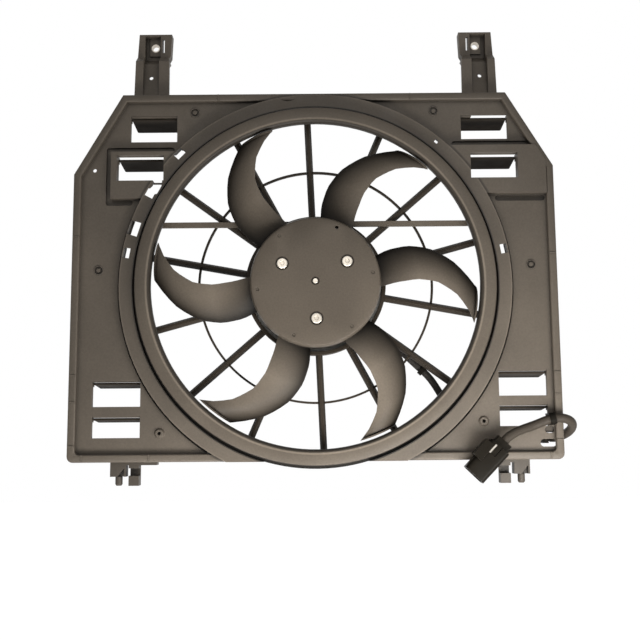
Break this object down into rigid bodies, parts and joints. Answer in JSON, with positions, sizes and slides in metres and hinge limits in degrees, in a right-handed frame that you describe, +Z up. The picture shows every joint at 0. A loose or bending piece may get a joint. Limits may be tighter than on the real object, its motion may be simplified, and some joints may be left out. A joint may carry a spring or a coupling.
{
  "type": "condenser fan",
  "caption": "Car condenser fan: moulded shroud panel with a ringed six-blade fan on a flat motor, ram-air flaps, bolt brackets, locating feet and a short pigtail connector.",
  "frame": {"origin": "midway between the two bracket bolt holes, in the front plane of the bolt plates", "axes": "+Z up, +X to the right as seen from the radiator side, +Y back towards the engine along the fan axis"},
  "size_m": [0.6781, 0.0828, 0.633],
  "materials": {
    "shroud": "moulded, satin",
    "fan": "moulded, satin with flow marks",
    "flap": "moulded, matte",
    "bright_steel": "zinc plated",
    "bell_steel": "zinc coated",
    "magnet": "sintered",
    "core_steel": "laminated",
    "copper": "enamelled copper wire",
    "cast_alloy": "cast",
    "cover_black": "cast, painted black",
    "board_green": "circuit board",
    "rubber_black": "matte",
    "clip_black": "moulded, satin",
    "sheath": "woven sheath",
    "connector_black": "moulded, semi-gloss",
    "lock_grey": "moulded",
    "contact": "tin-plated brass"
  },
  "bodies": {
    "root": {"shroud_panel": "shroud", "fan_ring": "shroud", "motor_spokes": "shroud", "spoke_hoop": "shroud", "tie_bar": "shroud", "motor_ring": "shroud", "left_bracket": "shroud", "right_bracket": "shroud", "left_foot": "shroud", "right_foot": "shroud", "bracket_bushes": "bright_steel", "front_bearing": "bright_steel", "rear_bearing": "bright_steel", "stator_core": "core_steel", "stator_coils": "copper", "motor_base": "cast_alloy", "controller_board": "board_green", "rear_cover": "cover_black", "motor_screws": "bright_steel", "cover_screws": "bright_steel", "cable_gland": "rubber_black", "motor_lead": "clip_black", "lead_clips": "clip_black", "edge_clip": "clip_black", "pigtail": "sheath", "connector_housing": "connector_black", "connector_cap": "connector_black", "connector_lock": "lock_grey", "connector_terminals": "contact"},
    "fan": {"fan": "fan", "fan_screws": "bright_steel", "rotor_bell": "bell_steel", "rotor_magnets": "magnet", "motor_shaft": "bright_steel"},
    "flap_left_1": {"flap_left_1": "flap"},
    "flap_left_2": {"flap_left_2": "flap"},
    "flap_left_3": {"flap_left_3": "flap"},
    "flap_left_4": {"flap_left_4": "flap"},
    "flap_right_1": {"flap_right_1": "flap"},
    "flap_right_2": {"flap_right_2": "flap"},
    "flap_right_3": {"flap_right_3": "flap"},
    "flap_right_4": {"flap_right_4": "flap"}
  },
  "joints": [
    {"name": "fan_spin", "type": "hinge", "parent": "root", "child": "fan", "pos_m": [-0.002, -0.025, -0.348], "axis": [0, 1, 0], "continuous": true},
    {"name": "flap_left_1_swing", "type": "hinge", "parent": "root", "child": "flap_left_1", "pos_m": [-0.225, -0.018, -0.112], "axis": [-1, 0, 0], "range_deg": [-4, 84]},
    {"name": "flap_left_2_swing", "type": "hinge", "parent": "root", "child": "flap_left_2", "pos_m": [-0.2418, -0.018, -0.1705], "axis": [-1, 0, 0], "range_deg": [-4, 84]},
    {"name": "flap_left_3_swing", "type": "hinge", "parent": "root", "child": "flap_left_3", "pos_m": [-0.2702, -0.018, -0.4805], "axis": [-1, 0, 0], "range_deg": [-4, 84]},
    {"name": "flap_left_4_swing", "type": "hinge", "parent": "root", "child": "flap_left_4", "pos_m": [-0.2702, -0.018, -0.528], "axis": [-1, 0, 0], "range_deg": [-4, 84]},
    {"name": "flap_right_1_swing", "type": "hinge", "parent": "root", "child": "flap_right_1", "pos_m": [0.234, -0.018, -0.114], "axis": [-1, 0, 0], "range_deg": [-4, 84]},
    {"name": "flap_right_2_swing", "type": "hinge", "parent": "root", "child": "flap_right_2", "pos_m": [0.2448, -0.018, -0.1705], "axis": [-1, 0, 0], "range_deg": [-4, 84]},
    {"name": "flap_right_3_swing", "type": "hinge", "parent": "root", "child": "flap_right_3", "pos_m": [0.2753, -0.018, -0.4695], "axis": [-1, 0, 0], "range_deg": [-4, 84]},
    {"name": "flap_right_4_swing", "type": "hinge", "parent": "root", "child": "flap_right_4", "pos_m": [0.2753, -0.018, -0.516], "axis": [-1, 0, 0], "range_deg": [-4, 84]}
  ]
}
